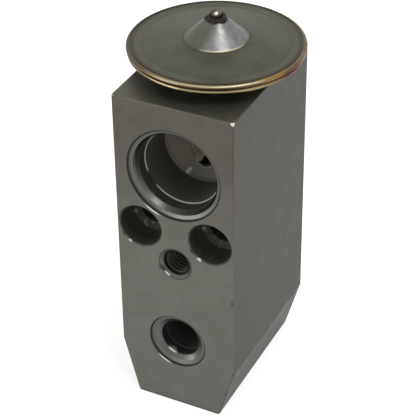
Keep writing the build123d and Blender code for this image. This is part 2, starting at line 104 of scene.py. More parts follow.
class Graph:
    """A node material under construction; lengths inside it are millimetres."""

    def __init__(self, name, metallic=1.0):
        self.mat = bpy.data.materials.new(name)
        self.mat.use_nodes = True
        self.tree = self.mat.node_tree
        self.bsdf = self.tree.nodes["Principled BSDF"]
        self.bsdf.inputs["Metallic"].default_value = metallic
        coords = self.tree.nodes.new("ShaderNodeTexCoord")
        self.point = self.vector_math("SCALE", coords.outputs["Object"], scale=1 / MM)
        self.facing = coords.outputs["Normal"]

    def put(self, socket, value):
        """Links a socket to another, or sets it to a plain value."""
        if isinstance(value, bpy.types.NodeSocket):
            self.tree.links.new(value, socket)
        else:
            socket.default_value = value

    def vector_math(self, operation, a, b=None, scale=None):
        """A vector operation; it gives a number where it is a distance, and otherwise a vector."""
        node = self.tree.nodes.new("ShaderNodeVectorMath")
        node.operation = operation
        self.put(node.inputs[0], a)
        if b is not None:
            self.put(node.inputs[1], b)
        if scale is not None:
            self.put(node.inputs["Scale"], scale)
        return node.outputs["Value" if operation == "DISTANCE" else "Vector"]

    def math(self, operation, a, b=0.0):
        """An operation on one number or two."""
        node = self.tree.nodes.new("ShaderNodeMath")
        node.operation = operation
        self.put(node.inputs[0], a)
        self.put(node.inputs[1], b)
        return node.outputs[0]

    def fold(self, operation, values):
        """An operation of two values, carried along a row of them."""
        result = values[0]
        for value in values[1:]:
            result = self.math(operation, result, value)
        return result

    def both(self, *factors):
        """The product of several factors."""
        return self.fold("MULTIPLY", factors)

    def total(self, *values):
        """The sum of several values."""
        return self.fold("ADD", values)

    def most(self, *values):
        """The largest of several values."""
        return self.fold("MAXIMUM", values)

    def least(self, *values):
        """The smallest of several values."""
        return self.fold("MINIMUM", values)

    def minus(self, a, b):
        """The first value less the second."""
        return self.math("SUBTRACT", a, b)

    def step(self, value, low, high, to_low=0.0, to_high=1.0):
        """A smooth change from to_low at low to to_high at high."""
        node = self.tree.nodes.new("ShaderNodeMapRange")
        node.interpolation_type = "SMOOTHSTEP"
        for socket, given in zip(node.inputs, (value, low, high, to_low, to_high)):
            self.put(socket, given)
        return node.outputs[0]

    def inside(self, distance, radius, soft):
        """One within a radius, falling to zero over the soft edge beyond it."""
        return self.step(distance, radius + soft, radius)

    def noise(self, scale, detail=3.0, roughness=0.55, vector=None):
        """Noise about 0.5; scale is in repeats per millimetre, one number or one for each axis."""
        vector = vector or self.point
        if isinstance(scale, tuple):
            vector = self.vector_math("MULTIPLY", vector, scale)
            scale = 1.0
        node = self.tree.nodes.new("ShaderNodeTexNoise")
        self.put(node.inputs["Vector"], vector)
        node.inputs["Scale"].default_value = scale
        node.inputs["Detail"].default_value = detail
        node.inputs["Roughness"].default_value = roughness
        return node.outputs[0]

    def mix(self, factor, a, b):
        """The first colour where the factor is zero, the second where it is one."""
        node = self.tree.nodes.new("ShaderNodeMix")
        node.data_type = "RGBA"
        self.put(node.inputs[0], factor)
        self.put(node.inputs[6], a if isinstance(a, bpy.types.NodeSocket) else (*a, 1.0))
        self.put(node.inputs[7], b if isinstance(b, bpy.types.NodeSocket) else (*b, 1.0))
        return node.outputs[2]

    def split(self, vector=None):
        """The x, y and z of a vector, of the point itself where none is given."""
        node = self.tree.nodes.new("ShaderNodeSeparateXYZ")
        self.put(node.inputs[0], vector or self.point)
        return node.outputs[:3]

    def join(self, x=0.0, y=0.0, z=0.0):
        """A vector from its x, y and z."""
        node = self.tree.nodes.new("ShaderNodeCombineXYZ")
        for socket, value in zip(node.inputs, (x, y, z)):
            self.put(socket, value)
        return node.outputs[0]

    def head_radius(self):
        """Distance from the valve's vertical axis, in millimetres."""
        flat = self.vector_math("MULTIPLY", self.point, (1.0, 1.0, 0.0))
        return self.vector_math("DISTANCE", flat, (0.0, AXIS_Y / MM, 0.0))

    def port_radius(self, x, z):
        """Distance from a horizontal axis through x and z that runs front to back, in millimetres."""
        flat = self.vector_math("MULTIPLY", self.point, (1.0, 0.0, 1.0))
        return self.vector_math("DISTANCE", flat, (x / MM, 0.0, z / MM))

    def rings(self, radius, along, scale):
        """Noise that is drawn out round an axis, as a turning tool leaves it."""
        return self.noise((scale, scale, 1.0), 2.0, 0.6, self.join(radius, along))

    def around(self, value, middle, half, soft):
        """One where the value lies within half of the middle, falling to zero over the soft edge."""
        off = self.math("ABSOLUTE", self.minus(value, middle))
        return self.step(off, half, half + soft, 1.0, 0.0)

    def near(self, centre, radius, soft_share):
        """One inside a ball round a point, falling to zero over a share of its radius."""
        reach = self.vector_math("DISTANCE", self.point, centre)
        return self.step(reach, radius * (1 - soft_share), radius, 1.0, 0.0)

    def bump(self, height, distance):
        """A bump whose height of one stands for distance, in millimetres."""
        node = self.tree.nodes.new("ShaderNodeBump")
        node.inputs["Strength"].default_value = 1.0
        node.inputs["Distance"].default_value = distance * MM
        self.put(node.inputs["Height"], height)
        return node.outputs[0]

    def finish(self, color, roughness, normal):
        """Wires the shader and gives the material."""
        self.put(self.bsdf.inputs["Base Color"], color)
        self.put(self.bsdf.inputs["Roughness"], roughness)
        self.put(self.bsdf.inputs["Normal"], normal)
        return self.mat


# The block's front face and its top in millimetres, which its marks are placed by
FACE = FRONT_Y / MM
TOP = BLOCK_TOP / MM
# Radii in millimetres that part the turned mouths of the holes from the dull hollows behind them
LARGE_MOUTH = 11.1
SMALL_MOUTH = 7.0
SUCTION_HOLLOW = 9.4
SMALL_HOLLOW = 4.7
BOLT_HOLLOW = 5.2
WELL_HOLLOW = 6.2
# Added to the distance from a hole on the end face that doesn't have it
ELSEWHERE = 50.0

# The block's gloss: the shine of its dull hollows, and its tint where it is seen at a flat angle
BLOCK_SHINE = 0.15
BLOCK_EDGE_TINT = (0.78, 0.78, 0.78, 1.0)

# The block's tones, as linear red, green and blue
BLACK = (0.0, 0.0, 0.0)
MILL_TONES = ((0.119, 0.118, 0.099), (0.138, 0.136, 0.116))
MILL_PATCH = (0.098, 0.097, 0.087)
MILL_GRAIN = (0.155, 0.152, 0.138)
END_FACE_LIT_UPPER = ((0.124, 0.116, 0.094), (0.144, 0.136, 0.113))
END_FACE_LIT_LOWER = ((0.188, 0.185, 0.162), (0.216, 0.212, 0.187))
TOP_TINT = (0.125, 0.120, 0.085)
PAINTED_SHADE_LINE = (0.022, 0.022, 0.020)
LIP_GREY = (0.095, 0.095, 0.091)
SEAT_GREY = (0.098, 0.098, 0.094)
SEAT_LIT_LEFT = (0.160, 0.160, 0.154)
SEAT_SHADE = (0.060, 0.060, 0.056)
RING_HIGHLIGHT = (0.34, 0.34, 0.33)
RING_HIGHLIGHT_GAP = (0.016, 0.016, 0.014)
LAND_GREY = (0.040, 0.039, 0.032)
BORE_GREY = (0.095, 0.092, 0.074)
SMALL_RING = (0.018, 0.018, 0.016)
SMALL_LAND = (0.030, 0.029, 0.025)
SMALL_BORE = (0.060, 0.058, 0.052)
FLOOR_TONES = ((0.168, 0.157, 0.120), (0.130, 0.125, 0.099))
FLOOR_CORNER_GLINT = (0.22, 0.215, 0.19)
FLOOR_GLINT_TONE = (0.46, 0.49, 0.47)
BRINK_SHADE = (0.030, 0.024, 0.016)
WELL_PAINTED_LIGHT = (0.80, 0.76, 0.63)
POCKET_PAINTED_SHADE = (0.010, 0.010, 0.008)
BOLT_TONES = ((0.046, 0.045, 0.038), (0.070, 0.069, 0.058))
BOLT_DEEPER = (0.104, 0.103, 0.087)
LEDGE_TONES = ((0.060, 0.060, 0.048), (0.26, 0.26, 0.21))
LEDGE_UPPER = (0.044, 0.044, 0.037)
LEDGE_GLINT_TONE = (0.22, 0.22, 0.20)
SHANK_PAINTED_SHADE = (0.008, 0.008, 0.006)
STUD_LIP = (0.105, 0.105, 0.098)
THREAD_SHADE_AND_CREST_LIGHT = ((0.017, 0.017, 0.014), (0.042, 0.042, 0.038))
CORNER_GLINT = (0.62, 0.61, 0.58)
GLINT = (0.60, 0.60, 0.57)
EDGE_SHADE_BROWN = (0.046, 0.035, 0.023)
DENT_DARK = (0.03, 0.03, 0.028)

# A port's bands in millimetres: lip and shoulder radius, seat depth, depth and half width of its ring
SUCTION_BANDS = (10.75, 10.0, 2.15, 4.35, 0.11)
SMALL_BANDS = (6.65, 5.75, 1.6, 3.775, 0.17)
# Small dents and scratches on the block: where, and how wide, in millimetres
BLOCK_NICKS = (
    ((13.65, FACE, 33.6), 0.34),
    ((13.7, FACE, 33.2), 0.36),
    ((13.65, FACE, 32.8), 0.32),
    ((14.0, -20.1, 13.4), 0.45),
    ((12.0, FACE, 6.9), 0.35),
    ((14.0, 5.7, 12.8), 0.5),
    ((14.0, 4.4, 12.6), 0.35),
    ((-3.4, FACE, 38.0), 1.0),
    ((-3.0, FACE, 37.7), 0.9),
)
# Corners with a painted highlight, where the lamp glints on them; they are also made smoother
BLOCK_CORNER_GLINTS = (
    ((14.0, FACE, TOP), 0.9),
    ((-14.0, FACE, TOP), 0.5),
)
# Painted highlights, arcs where the lamp glints on the edges of holes: the hole's height in metres, then
# radius, place and reach in millimetres
BLOCK_GLINTS = (
    (SUCTION_Z, 11.25, (-5.3, FACE, 52.4), 2.6),
    (LIQUID_Z, 7.1, (-3.4, FACE, 11.9), 2.2),
    (LIQUID_Z, 4.8, (-2.1, -18.7, 13.8), 1.5),
    (STUD_Z, 3.75, (-2.1, FACE, 36.6), 1.0),
)
# The same painted highlights on the bolt holes, with a painted brownish shade beside each: place, tone and
# reach
BOLT_GLINTS = (
    ((-11.15, FACE, 42.55), GLINT, 0.75),
    ((5.75, FACE, 42.75), GLINT, 0.75),
    ((-12.75, FACE, 44.1), EDGE_SHADE_BROWN, 0.85),
    ((3.8, FACE, 44.4), EDGE_SHADE_BROWN, 0.95),
)
# Painted glints, small highlights of the lamp, on the floor of the suction bore and on the ledges of the bolt
# holes
FLOOR_GLINTS = (
    ((-3.5, -6.6, 54.9), 0.75),
    ((-3.1, -6.3, 55.5), 0.7),
)
LEDGE_GLINTS = (
    ((-12.95, -13.8, 46.1), 0.8),
    ((-12.8, -13.2, 45.3), 0.6),
    ((3.85, -13.8, 46.3), 0.8),
    ((4.0, -13.2, 45.5), 0.6),
)


class BlockPlaces:
    """Where a point of the block lies: coordinates, top face, depth, distances from holes, hollows."""

    def __init__(self, g):
        self.x, self.y, self.z = g.split()
        self.slope = g.split(g.facing)[2]
        self.top = g.both(g.step(self.slope, 0.8, 0.95), g.step(self.z, 78.5, 79.0))
        self.measure(g)
        self.find_hollows(g)

    def measure(self, g):
        """Depth behind the nearer end face, and the distance from each hole's axis."""
        middle = (FRONT_Y + REAR_Y) / 2 / MM
        half_depth = (REAR_Y - FRONT_Y) / 2 / MM
        self.depth = g.minus(half_depth, g.math("ABSOLUTE", g.minus(self.y, middle)))
        away = g.both(g.step(self.y, 0.0, 2.0), ELSEWHERE)
        liquid = g.total(g.port_radius(0.0, LIQUID_Z), away)
        feed = g.minus(g.total(g.port_radius(0.0, FEED_Z), ELSEWHERE), away)
        self.small_port = g.least(liquid, feed)
        self.suction = g.port_radius(0.0, SUCTION_Z)
        self.bolt = g.least(g.port_radius(-BOLT_X, BOLT_Z), g.port_radius(BOLT_X, BOLT_Z))
        self.stud = g.total(g.port_radius(0.0, STUD_Z), away)
        self.axis = g.head_radius()

    def find_hollows(self, g):
        """The dull hollows, which are bolt holes, vertical bore and ports, and the ports' turned mouths."""
        self.bolt_in = g.both(g.inside(self.bolt, BOLT_HOLLOW, 0.2), g.step(self.depth, 0.05, 0.3))
        self.well = g.both(g.inside(self.axis, WELL_HOLLOW, 0.04), g.step(self.z, 43.0, 44.0))
        small_in = g.both(g.inside(self.small_port, SMALL_HOLLOW, 0.1), g.step(self.depth, 1.4, 1.6))
        suction_in = g.both(g.inside(self.suction, SUCTION_HOLLOW, 0.1), g.step(self.depth, 1.9, 2.1))
        self.dull = g.most(self.bolt_in, self.well, small_in, suction_in)
        self.large = g.inside(self.suction, LARGE_MOUTH, 0.1)
        self.small = g.inside(self.small_port, SMALL_MOUTH, 0.1)
        mouth = g.step(self.depth, 0.0, 0.1)
        self.in_port = g.both(g.most(self.large, self.small), mouth, g.minus(1.0, self.dull))


def mill_tone_and_face_light(g, at, cloud, grain):
    """Mottled satin grey, with painted light and shade by the way a face turns: end faces painted paler, most
    lower down, upright faces painted darker than the top, tapers darkest.
    """
    patch = g.noise(0.55, 4.0, 0.65)
    clouded = g.step(cloud, 0.3, 0.7)
    color = g.mix(clouded, *MILL_TONES)
    color = g.mix(g.step(patch, 0.45, 0.8, 0.0, 0.5), color, MILL_PATCH)
    color = g.mix(g.step(grain, 0.4, 0.8, 0.0, 0.3), color, MILL_GRAIN)
    # Painted light: the end faces paler than the sides
    end_face_light = g.step(g.math("ABSOLUTE", g.split(g.facing)[1]), 0.15, 0.5, 0.0, 0.8)
    end_face_lit_tone = g.mix(g.step(at.z, 72.0, 38.0), g.mix(clouded, *END_FACE_LIT_UPPER), g.mix(clouded, *END_FACE_LIT_LOWER))
    color = g.mix(end_face_light, color, end_face_lit_tone)
    # Painted shade: upright faces darker than the top, tapers darker still
    upright_shade = g.step(at.top, 0.0, 1.0, 0.365, 0.0)
    taper_shade = g.step(at.slope, -0.05, -0.2, 0.0, 0.18)
    return g.mix(g.total(upright_shade, taper_shade), color, BLACK)


def port_bands(g, at, color, radius, bands, wall_tone, ring_tone):
    """A port from the face in: a dark line of painted shade, grey lip, seat painted paler at the left where
    it catches the light, then wall and thin ring.
    """
    lip, shoulder, seat_depth, ring_depth, ring_half = bands
    inside = g.both(g.step(at.depth, 0.0, 0.06), g.inside(radius, lip + 0.4, 0.1))
    # Painted shade: a dark line at the edge of the mouth, outside the grey lip
    tone = g.mix(g.step(radius, lip - 0.05, lip + 0.1), LIP_GREY, PAINTED_SHADE_LINE)
    # Painted light: the seat paler at the left, where it faces the lamp
    seat = g.mix(g.step(at.x, -4.0, -8.5), SEAT_GREY, SEAT_LIT_LEFT)
    tone = g.mix(g.step(radius, shoulder + 0.2, shoulder - 0.05), tone, seat)
    tone = g.mix(g.step(at.depth, seat_depth - 0.25, seat_depth + 0.1), tone, wall_tone)
    tone = g.mix(g.around(at.depth, ring_depth, ring_half, 0.03), tone, ring_tone)
    return g.mix(inside, color, tone)


def paint_ports(g, at, color):
    """The suction ports, whose ring of painted highlight has a dark gap at the left, and the two small ports.
    """
    # The pale ring is a painted highlight on the step in the bore, broken by a dark gap
    gap = g.both(g.step(at.z, 59.6, 58.8), g.step(at.z, 55.8, 56.4), g.step(at.x, -5.2, -6.0))
    ring_tone = g.mix(gap, RING_HIGHLIGHT, RING_HIGHLIGHT_GAP)
    wall_tone = g.mix(g.step(at.depth, 4.1, 4.6), LAND_GREY, BORE_GREY)
    color = port_bands(g, at, color, at.suction, SUCTION_BANDS, wall_tone, ring_tone)
    shade = g.both(g.inside(at.suction, 9.9, 0.1), g.around(at.depth, 1.85, 0.3, 0.3))
    shade = g.both(shade, g.step(at.z, 55.0, 61.0), 0.8)
    color = g.mix(shade, color, SEAT_SHADE)
    wall_tone = g.mix(g.step(at.depth, 3.7, 5.0), SMALL_LAND, SMALL_BORE)
    return port_bands(g, at, color, at.small_port, SMALL_BANDS, wall_tone, SMALL_RING)


def paint_bore_floor(g, at, color):
    """The coned floor of the suction bore, with a painted highlight streak at its corner, painted glints, and
    a dark line of painted shade where the vertical bore cuts it.
    """
    floor = g.both(g.inside(at.suction, 8.9, 0.1), g.step(at.depth, 13.15, 13.3))
    tone = g.mix(g.step(at.x, -7.5, -2.5), *FLOOR_TONES)
    # Painted highlight: a pale streak along the floor's upper corner
    corner_streak = g.both(g.step(at.suction, 8.1, 8.4), g.step(at.z, 61.0, 63.0))
    tone = g.mix(corner_streak, tone, FLOOR_CORNER_GLINT)
    for place, radius in FLOOR_GLINTS:
        tone = g.mix(g.near(place, radius, 0.8), tone, FLOOR_GLINT_TONE)
    # Painted shade: a dark line where the vertical bore cuts the floor, and a dark spot at its brink
    line = g.both(g.around(at.axis, 6.32, 0.08, 0.12), g.step(at.z, 57.2, 58.6))
    brink_shade = g.most(line, g.near((-2.7, -4.6, 60.1), 0.6, 2 / 3))
    tone = g.mix(g.both(brink_shade, 0.8), tone, BRINK_SHADE)
    return g.mix(floor, color, tone)


def paint_well(g, at, color):
    """The vertical bore: pale with painted light, with painted black shade in the pocket of the stem's seal
    in its lower part.
    """
    # Painted light on the bore's walls and floor, and painted black shade in the pocket
    slant = g.step(g.minus(at.x, at.y), -3.2, -2.4)
    pocket = g.both(g.most(g.inside(at.axis, 3.3, 0.3), slant), g.step(at.z, 54.5, 54.3))
    return g.mix(at.well, color, g.mix(pocket, WELL_PAINTED_LIGHT, POCKET_PAINTED_SHADE))


def paint_bolt_holes(g, at, color):
    """The counterbores: wall, ledge with pale streaks low down and painted glints, and painted black shade
    beyond it.
    """
    streaks = g.step(g.noise((0.9, 0.15, 0.9), 3.0, 0.6), 0.5, 0.72)
    tone = g.mix(streaks, *BOLT_TONES)
    tone = g.mix(g.step(at.depth, 2.5, 6.2), tone, BOLT_DEEPER)
    ledge = g.mix(streaks, *LEDGE_TONES)
    ledge = g.mix(g.step(at.z, 45.3, 43.6), LEDGE_UPPER, ledge)
    # Painted shade: black in the through hole beyond the ledge
    ledge = g.mix(g.step(at.depth, 8.6, 9.4), ledge, SHANK_PAINTED_SHADE)
    tone = g.mix(g.step(at.depth, 6.3, 6.45), tone, ledge)
    # Painted glints on the ledges
    for place, radius in LEDGE_GLINTS:
        tone = g.mix(g.near(place, radius, 0.8), tone, LEDGE_GLINT_TONE)
    return g.mix(at.bolt_in, color, tone)


def paint_stud_hole(g, at, color):
    """The tapped hole: a grey countersink with a dark rim of painted shade, and the thread painted dark, with
    painted highlight on its crests.
    """
    lip = g.both(g.inside(at.stud, 3.75, 0.1), g.step(at.depth, 0.0, 0.06))
    color = g.mix(lip, color, STUD_LIP)
    # Painted shade: a dark line round the countersink's rim
    color = g.mix(g.both(g.around(at.stud, 3.9, 0.06, 0.14), 0.7), color, PAINTED_SHADE_LINE)
    inside = g.both(g.inside(at.stud, 3.1, 0.2), g.step(at.depth, 0.4, 0.6))
    # Painted shade in the thread's roots and painted highlight on its crests
    return g.mix(inside, color, g.mix(g.inside(at.stud, 2.6, 0.15), *THREAD_SHADE_AND_CREST_LIGHT))


def paint_glints_shade_and_wear(g, at, color, corner_glints, dents):
    """Painted highlights on corners and on the edges of holes, painted brownish shade beside the bolt holes,
    dents, a warmer top and a painted shadow along the foot.
    """
    # Painted highlight on the corners
    for spot in corner_glints:
        color = g.mix(spot, color, CORNER_GLINT)
    # Painted glints on the edges of the holes
    for hole_z, radius, place, reach in BLOCK_GLINTS:
        arc = g.around(g.port_radius(0.0, hole_z), radius, 0.08, 0.14)
        color = g.mix(g.both(arc, g.near(place, reach, 0.7), 0.9), color, GLINT)
    edge = g.around(at.bolt, BOLT_HOLLOW, 0.14, 0.2)
    # Painted glints on the bolt holes' edges, and painted brownish shade beside them
    for place, tone, reach in BOLT_GLINTS:
        color = g.mix(g.both(edge, g.near(place, reach, 0.7), 0.9), color, tone)
    color = g.mix(g.both(dents, 0.75), color, DENT_DARK)
    color = g.mix(g.both(at.top, 0.35), color, TOP_TINT)
    # Painted shadow along the foot of the end faces
    foot = g.both(g.step(at.z, 0.75, 0.25), g.step(at.depth, 1.0, 0.2), 0.6)
    return g.mix(foot, color, PAINTED_SHADE_LINE)


def block_roughness(g, at, cloud, corner_glints):
    """Satin, a little smoother in the turned ports, smoother still on the corners with the painted highlight.
    """
    rough = g.total(g.step(cloud, 0.2, 0.8, 0.38, 0.48), g.both(at.in_port, -0.08))
    for spot in corner_glints:
        rough = g.both(rough, g.step(spot, 0.0, 1.0, 1.0, 0.4))
    return rough


def block_relief(g, at, grain, dents):
    """Grain, drawn and milled streaks, rings in ports and bores, the adjuster hole's thread, dents."""
    drawn = g.noise((1.3, 0.05, 1.3), 3.0, 0.6)
    milled = g.noise((0.05, 1.0, 1.6), 3.0, 0.6)
    streaks = g.total(g.both(drawn, 0.45), g.both(milled, 0.25))
    streaks = g.both(streaks, g.minus(1.0, at.dull))
    turned = g.both(at.large, g.rings(at.suction, at.y, 5.0))
    turned = g.total(turned, g.both(at.small, g.rings(at.small_port, at.y, 5.0)))
    bored = g.both(at.dull, g.rings(0.0, at.y, 3.0))
    screwed = g.both(g.inside(at.axis, 7.1, 0.2), g.step(at.z, 2.0, 1.8))
    thread = g.both(screwed, g.math("SINE", g.both(at.z, 2 * math.pi)), 8.0)
    height = g.total(g.both(grain, 0.5), streaks, g.both(at.in_port, turned, 0.5), g.both(bored, 0.6), thread)
    return g.minus(height, g.both(dents, 6.0))


def block_material():
    """Satin mill aluminium with soft mottling, turned port seats, dull bores and small dents."""
    g = Graph("block_aluminium")
    g.bsdf.inputs["Specular IOR Level"].default_value = BLOCK_SHINE
    g.bsdf.inputs["Specular Tint"].default_value = BLOCK_EDGE_TINT
    at = BlockPlaces(g)
    cloud = g.noise(0.16, 4.0, 0.6)
    grain = g.noise(2.6, 3.0, 0.6)
    corner_glints = [g.near(place, radius, 0.6) for place, radius in BLOCK_CORNER_GLINTS]
    dents = g.most(*[g.near(place, radius, 0.7) for place, radius in BLOCK_NICKS])
    color = mill_tone_and_face_light(g, at, cloud, grain)
    for paint in (paint_ports, paint_bore_floor, paint_well, paint_bolt_holes, paint_stud_hole):
        color = paint(g, at, color)
    color = paint_glints_shade_and_wear(g, at, color, corner_glints, dents)
    matt = g.total(g.both(at.dull, 0.85), g.both(at.top, 0.23))
    g.put(g.bsdf.inputs["Metallic"], g.minus(1.0, matt))
    relief = g.bump(block_relief(g, at, grain, dents), 0.012)
    return g.finish(color, block_roughness(g, at, cloud, corner_glints), relief)


# The head's tones
DISC_TONES = ((0.080, 0.082, 0.057), (0.106, 0.107, 0.082))
DISC_PATCH = (0.070, 0.070, 0.053)
SMUDGE_TONE = (0.045, 0.043, 0.036)
DISC_RING_TONE = (0.045, 0.04, 0.028)
CONE_LIT_TONES = ((0.228, 0.224, 0.222), (0.165, 0.162, 0.160))
CONE_FOOT_GLINT = (0.46, 0.43, 0.30)
BURNT = (0.018, 0.015, 0.014)
RIM_BRONZE = ((0.135, 0.096, 0.050), (0.175, 0.134, 0.077))
RIM_FRONT_LIGHT = (0.25, 0.19, 0.095)
RIM_UNDER_TINT_AND_SHADE = (0.075, 0.045, 0.020)
RIM_LOWER_LIGHT = (0.38, 0.32, 0.17)
RIM_CREST_HIGHLIGHT = (0.48, 0.44, 0.31)
RIM_GOLD = (0.27, 0.175, 0.045)
RIM_RED = (0.15, 0.060, 0.032)
RIM_LEFT = (0.070, 0.056, 0.036)
RIM_MAROON = (0.115, 0.030, 0.022)
RIM_DEEP_MAROON = (0.050, 0.006, 0.010)
SEAM_TONES = ((0.020, 0.008, 0.005), (0.16, 0.075, 0.026))
SEAM_Z_MM = 83.175

# Smudges on the disc: where, and how wide, in millimetres
DISC_SMUDGES = (
    ((2.5, -10.9, 84.2), 1.3),
    ((4.0, -8.9, 84.2), 1.0),
    ((5.4, -9.2, 84.2), 1.1),
    ((8.5, 1.6, 84.8), 1.2),
    ((7.9, -1.2, 84.9), 0.9),
    ((-9.6, -8.0, 84.4), 2.0),
)
# Darker rings on the disc: radius, half width and soft edge in millimetres, and strength
DISC_RINGS = (
    (15.8, 0.12, 0.5, 0.16),
    (17.9, 0.2, 0.45, 0.6),
    (7.2, 0.1, 0.4, 0.4),
)


def rim_front(g, x, y, z, radius, tint):
    """The rim's front: painted lighter, with a painted cream highlight on its crest and painted light on its
    lower bead, and a brown band between that is part tint and part painted shade.
    """
    # Painted light and shade along the rim's front
    front = g.both(g.step(y, -5.5, -10.5), g.step(x, 17.3, 15.3))
    tint = g.mix(g.both(front, 0.45), tint, RIM_FRONT_LIGHT)
    under = g.both(front, g.step(z, 83.9, 83.75), g.step(z, 83.2, 83.3))
    tint = g.mix(g.both(under, 0.7), tint, RIM_UNDER_TINT_AND_SHADE)
    lower = g.both(front, g.step(z, 83.0, 82.9))
    tint = g.mix(g.both(lower, 0.7), tint, RIM_LOWER_LIGHT)
    crest_highlight = g.both(front, g.around(z, 84.0, 0.06, 0.10), g.step(radius, 18.75, 18.95), g.step(x, -9.0, -1.0))
    return g.mix(g.both(crest_highlight, 0.9), tint, RIM_CREST_HIGHLIGHT)


def rim_sides(g, x, y, z, tint):
    """The rim's sides: gold and red towards the right, brown at the left, maroon at the far right."""
    gold = g.both(g.near((17.3, -7.0, 84.0), 5.0, 0.7), 0.75)
    tint = g.mix(gold, tint, RIM_GOLD)
    red = g.both(g.near((18.6, 4.0, 83.6), 7.0, 4 / 7), g.step(z, 84.02, 83.85), 0.75)
    tint = g.mix(red, tint, RIM_RED)
    tint = g.mix(g.both(g.step(x, -3.0, -12.0), 0.8), tint, RIM_LEFT)
    beside = g.both(g.step(x, 10.0, 14.0), g.step(z, 84.0, 83.7))
    soft = g.both(beside, g.step(y, -9.0, -5.5), g.step(y, 10.0, 6.0))
    tint = g.mix(g.both(soft, 0.55), tint, RIM_MAROON)
    strong = g.both(beside, g.step(y, -5.6, -4.0), g.step(y, 0.9, -0.2))
    return g.mix(g.both(strong, 0.9), tint, RIM_DEEP_MAROON)


def rim_tint(g, x, y, z, radius):
    """Heat tint of the rim: bronze, changed along the sides, with painted light and shade along the front,
    and a dark seam.
    """
    uneven = g.step(g.noise(0.45, 3.0, 0.6), 0.35, 0.65)
    tint = g.mix(uneven, *RIM_BRONZE)
    tint = rim_front(g, x, y, z, radius, tint)
    tint = rim_sides(g, x, y, z, tint)
    seam = g.around(z, SEAM_Z_MM, 0.22, 0.08)
    sideways = g.math("ABSOLUTE", g.minus(x, 4.0))
    return g.mix(g.both(seam, 0.85), tint, g.mix(g.step(sideways, 6.0, 12.0), *SEAM_TONES))


def disc_tone(g, radius, cloud, patch, smears):
    """The disc: mottled grey with smudges and faint darker rings."""
    color = g.mix(g.step(cloud, 0.3, 0.7), *DISC_TONES)
    color = g.mix(g.step(patch, 0.45, 0.85, 0.0, 0.5), color, DISC_PATCH)
    color = g.mix(g.both(smears, 0.55), color, SMUDGE_TONE)
    for middle, half, soft, amount in DISC_RINGS:
        color = g.mix(g.both(g.around(radius, middle, half, soft), amount), color, DISC_RING_TONE)
    return color


def paint_cone(g, x, y, z, radius, cone, patch, color):
    """The cone: painted lighter at the right where the lamp's highlight falls, with a painted highlight round
    its foot at the front and a burnt tip.
    """
    behind = g.minus(y, AXIS_Y / MM)
    toward = g.total(g.both(x, 0.62), g.both(behind, -0.78))
    aside = g.total(g.both(x, 0.95), g.both(behind, -0.3))
    # Painted light: the cone lighter towards the lamp, at its right
    cone_light = g.step(aside, 0.8, 3.2, 0.22, 1.0)
    mottled = g.mix(g.step(patch, 0.35, 0.7), *CONE_LIT_TONES)
    color = g.mix(g.both(cone, cone_light), color, mottled)
    # Painted highlight round the cone's foot at the front
    foot = g.both(g.around(radius, 6.8, 0.1, 0.14), g.step(toward, 4.2, 6.2))
    color = g.mix(g.both(foot, 0.7), color, CONE_FOOT_GLINT)
    ragged = g.total(radius, g.both(g.minus(g.noise(1.6, 4.0, 0.7), 0.5), 1.1))
    burnt = g.both(g.inside(ragged, 2.2, 0.4), g.step(z, 87.5, 88.2), 0.92)
    return g.mix(burnt, color, BURNT)


def cover_material():
    """Pressed steel: grey on the disc, turned and painted lighter on the cone, heat-tinted round the rim,
    with painted light along the rim's front.
    """
    g = Graph("cover_steel")
    x, y, z = g.split()
    radius = g.head_radius()
    cloud = g.noise(0.2, 4.0, 0.6)
    patch = g.noise(0.8, 4.0, 0.65)
    grain = g.noise(3.0, 3.0, 0.6)
    smudge = g.most(*[g.near(place, size, 0.9) for place, size in DISC_SMUDGES])
    smears = g.both(smudge, g.step(g.noise((0.8, 2.4, 1.0), 4.0, 0.7), 0.42, 0.6))
    cone = g.inside(radius, 6.6, 0.35)
    rim = g.step(radius, 18.2, 18.55)
    color = disc_tone(g, radius, cloud, patch, smears)
    color = paint_cone(g, x, y, z, radius, cone, patch, color)
    color = g.mix(rim, color, rim_tint(g, x, y, z, radius))

    rough = g.minus(g.step(cloud, 0.2, 0.8, 0.36, 0.46), g.both(cone, 0.02))
    rough = g.minus(rough, g.both(rim, 0.08))
    turned = g.rings(radius, z, 4.0)
    height = g.total(g.both(grain, 0.6), g.both(cone, turned, 0.9), g.both(cone, patch, 1.6))
    height = g.minus(height, g.both(smears, 0.6))
    return g.finish(color, rough, g.bump(height, 0.008))


# The ball's tones
BALL_TONES = ((0.12, 0.12, 0.125), (0.20, 0.19, 0.17))
BALL_SHADE = (0.060, 0.055, 0.045)
BALL_PAINTED_GLINT = (0.85, 0.80, 0.68)
BALL_BURNT = (0.030, 0.021, 0.010)
BALL_EDGE_TINT = (0.35, 0.32, 0.28, 1.0)


def plug_material():
    """The ball: dull steel with a painted highlight on top and a smoky, burnt lower half."""
    g = Graph("plug_steel")
    g.bsdf.inputs["Specular Tint"].default_value = BALL_EDGE_TINT
    x, _, z = g.split()
    smoke = g.total(z, g.both(g.minus(g.noise(1.2), 0.5), 0.8))
    color = g.mix(g.step(g.noise(0.9), 0.35, 0.65), *BALL_TONES)
    color = g.mix(g.step(x, 0.2, -0.9), color, BALL_SHADE)
    # Painted highlight on the ball's top
    color = g.mix(g.near((0.45, 0.0, 91.25), 0.5, 0.6), color, BALL_PAINTED_GLINT)
    color = g.mix(g.step(smoke, 91.2, 90.6), color, BALL_BURNT)
    return g.finish(color, g.step(smoke, 90.3, 90.9, 0.55, 0.3), g.bump(g.noise(4.0), 0.01))


